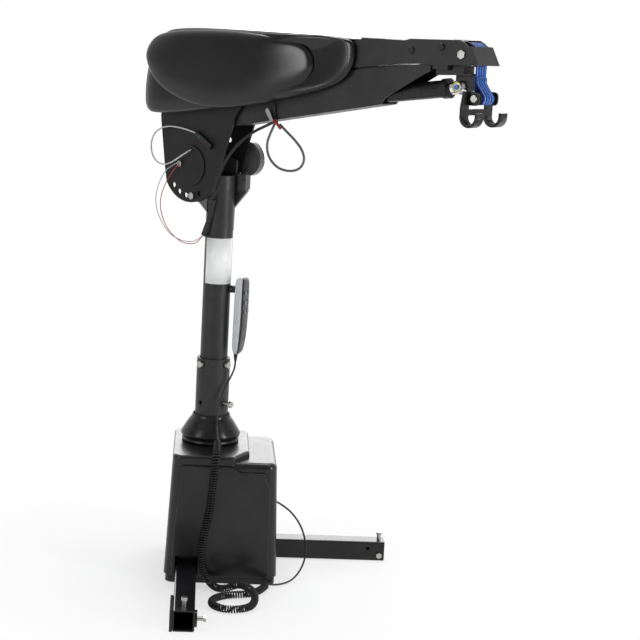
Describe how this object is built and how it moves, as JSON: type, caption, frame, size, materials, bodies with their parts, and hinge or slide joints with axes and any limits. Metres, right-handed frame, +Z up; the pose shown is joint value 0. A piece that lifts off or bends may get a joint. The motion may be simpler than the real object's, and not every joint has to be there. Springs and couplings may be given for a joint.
{
  "type": "truck hoist",
  "caption": "Pick-up truck hoist for a folded wheelchair or scooter: legged base, swinging telescopic mast and a tilting power boom with a webbing strap and docking hook.",
  "frame": {"origin": "on the floor at the mast's swing axis", "axes": "+Z up along the mast, +X along the side leg, -Y along the near leg"},
  "size_m": [0.7136, 0.6862, 1.1929],
  "materials": {
    "leg_black": "satin black powder coat",
    "powder_grey": "fine textured dark grey powder coat",
    "zinc": "bright zinc plate",
    "bare_steel": "plain steel",
    "cover_black": "satin black moulding",
    "head_black": "gloss black moulding",
    "boot_black": "matt black",
    "case_grey": "light grey, ribbed",
    "case_black": "satin black",
    "button_mix": "soft",
    "cable_black": "matt black",
    "cable_grey": "light grey sheath",
    "wire_mix": "one red wire and one grey wire",
    "plug_grey": "pale grey",
    "webbing_blue": "royal blue webbing with cyan and yellow stitch rows",
    "hook_black": "black powder coat",
    "chrome_rod": "polished",
    "aluminium": "satin",
    "motor_grey": "dark grey",
    "nylon": "natural nylon"
  },
  "bodies": {
    "base": {"near_leg": "leg_black", "side_leg": "leg_black", "clamp_screws": "zinc", "base_pan": "bare_steel", "slew_plate": "bare_steel", "swing_gearbox": "motor_grey", "swing_motor": "motor_grey", "base_cover": "cover_black", "pendant_coil": "cable_black", "pendant_tail": "cable_black"},
    "sleeve": {"swing_spindle": "bare_steel", "lower_mast": "powder_grey", "mast_bush": "nylon", "mast_bolts": "zinc", "mast_boot": "boot_black", "pendant_lead": "cable_black"},
    "mast": {"upper_mast": "powder_grey", "head_cheeks": "powder_grey", "lift_motor": "motor_grey", "handset_back": "case_grey", "handset_front": "case_black", "handset_relief": "case_black", "wire_connectors": "plug_grey", "motor_leads": "wire_mix"},
    "head": {"near_head_plate": "powder_grey", "far_head_plate": "powder_grey", "pivot_shaft": "bare_steel", "head_fasteners": "zinc", "upper_arm": "powder_grey", "lower_channel": "powder_grey", "actuator_tube": "aluminium", "winch_motor": "motor_grey", "head_cover": "head_black", "near_cover_cap": "head_black", "far_cover_cap": "head_black", "cable_clip": "case_black", "signal_plug": "plug_grey", "signal_cable": "cable_grey", "head_harness": "cable_black"},
    "drum": {"strap_drum": "nylon"},
    "boom": {"inner_boom": "aluminium", "boom_nose": "powder_grey", "nose_bolts": "zinc", "roller_axle": "zinc", "actuator_lug": "powder_grey", "actuator_rod": "chrome_rod", "clevis_pin": "zinc", "boom_strap": "webbing_blue", "webbing_strap": "webbing_blue"},
    "roller": {"strap_roller": "nylon"},
    "block": {"strap_loop": "webbing_blue", "hook_bush": "nylon", "hook_pin": "zinc"},
    "hook": {"docking_hook": "hook_black"},
    "key_1": {"button_1": "button_mix"},
    "key_2": {"button_2": "button_mix"},
    "key_3": {"button_3": "button_mix"},
    "key_4": {"button_4": "button_mix"},
    "key_5": {"button_5": "button_mix"},
    "key_6": {"button_6": "button_mix"}
  },
  "joints": [
    {"name": "mast_swing", "type": "hinge", "parent": "base", "child": "sleeve", "pos_m": [0, 0, 0.1], "axis": [0, 0, 1], "range_deg": [-90, 90]},
    {"name": "mast_height", "type": "slide", "parent": "sleeve", "child": "mast", "axis": [0, 0, 1], "range_m": [0, 0.1]},
    {"name": "head_tilt", "type": "hinge", "parent": "mast", "child": "head", "pos_m": [-0.04497, 0.04268, 0.889], "axis": [-0.6884, -0.7254, 0], "range_deg": [0, 18.5]},
    {"name": "boom_slide", "type": "slide", "parent": "head", "child": "boom", "axis": [0.718, -0.6814, 0.1421], "range_m": [0, 0.15]},
    {"name": "roller_spin", "type": "hinge", "parent": "boom", "child": "roller", "pos_m": [0.46127, -0.43772, 1.1657], "axis": [0.6884, 0.7254, 0], "range_deg": [0, 2400]},
    {"name": "drum_spin", "type": "hinge", "parent": "head", "child": "drum", "pos_m": [-0.01451, 0.01377, 1.084], "axis": [0.6884, 0.7254, 0], "range_deg": [0, 1900]},
    {"name": "hook_lift", "type": "slide", "parent": "boom", "child": "block", "axis": [0, 0, -1], "range_m": [0, 0.9], "deforming": ["webbing_strap"]},
    {"name": "hook_swing", "type": "hinge", "parent": "block", "child": "hook", "pos_m": [0.48528, -0.46051, 1.085], "axis": [0.6884, 0.7254, 0], "range_deg": [-60, 60]},
    {"name": "press_1", "type": "slide", "parent": "mast", "child": "key_1", "axis": [-0.9511, 0.309, 0], "range_m": [0, 0.0015], "stiffness_N_per_m": 800},
    {"name": "press_2", "type": "slide", "parent": "mast", "child": "key_2", "axis": [-0.9511, 0.309, 0], "range_m": [0, 0.0015], "stiffness_N_per_m": 800},
    {"name": "press_3", "type": "slide", "parent": "mast", "child": "key_3", "axis": [-0.9511, 0.309, 0], "range_m": [0, 0.0015], "stiffness_N_per_m": 800},
    {"name": "press_4", "type": "slide", "parent": "mast", "child": "key_4", "axis": [-0.9511, 0.309, 0], "range_m": [0, 0.0015], "stiffness_N_per_m": 800},
    {"name": "press_5", "type": "slide", "parent": "mast", "child": "key_5", "axis": [-0.9511, 0.309, 0], "range_m": [0, 0.0015], "stiffness_N_per_m": 800},
    {"name": "press_6", "type": "slide", "parent": "mast", "child": "key_6", "axis": [-0.9511, 0.309, 0], "range_m": [0, 0.0015], "stiffness_N_per_m": 800}
  ],
  "couplings": [
    {"joint": "roller_spin", "follows": "hook_lift", "rad_per_m": 45.455},
    {"joint": "drum_spin", "follows": "hook_lift", "rad_per_m": 35.714}
  ]
}
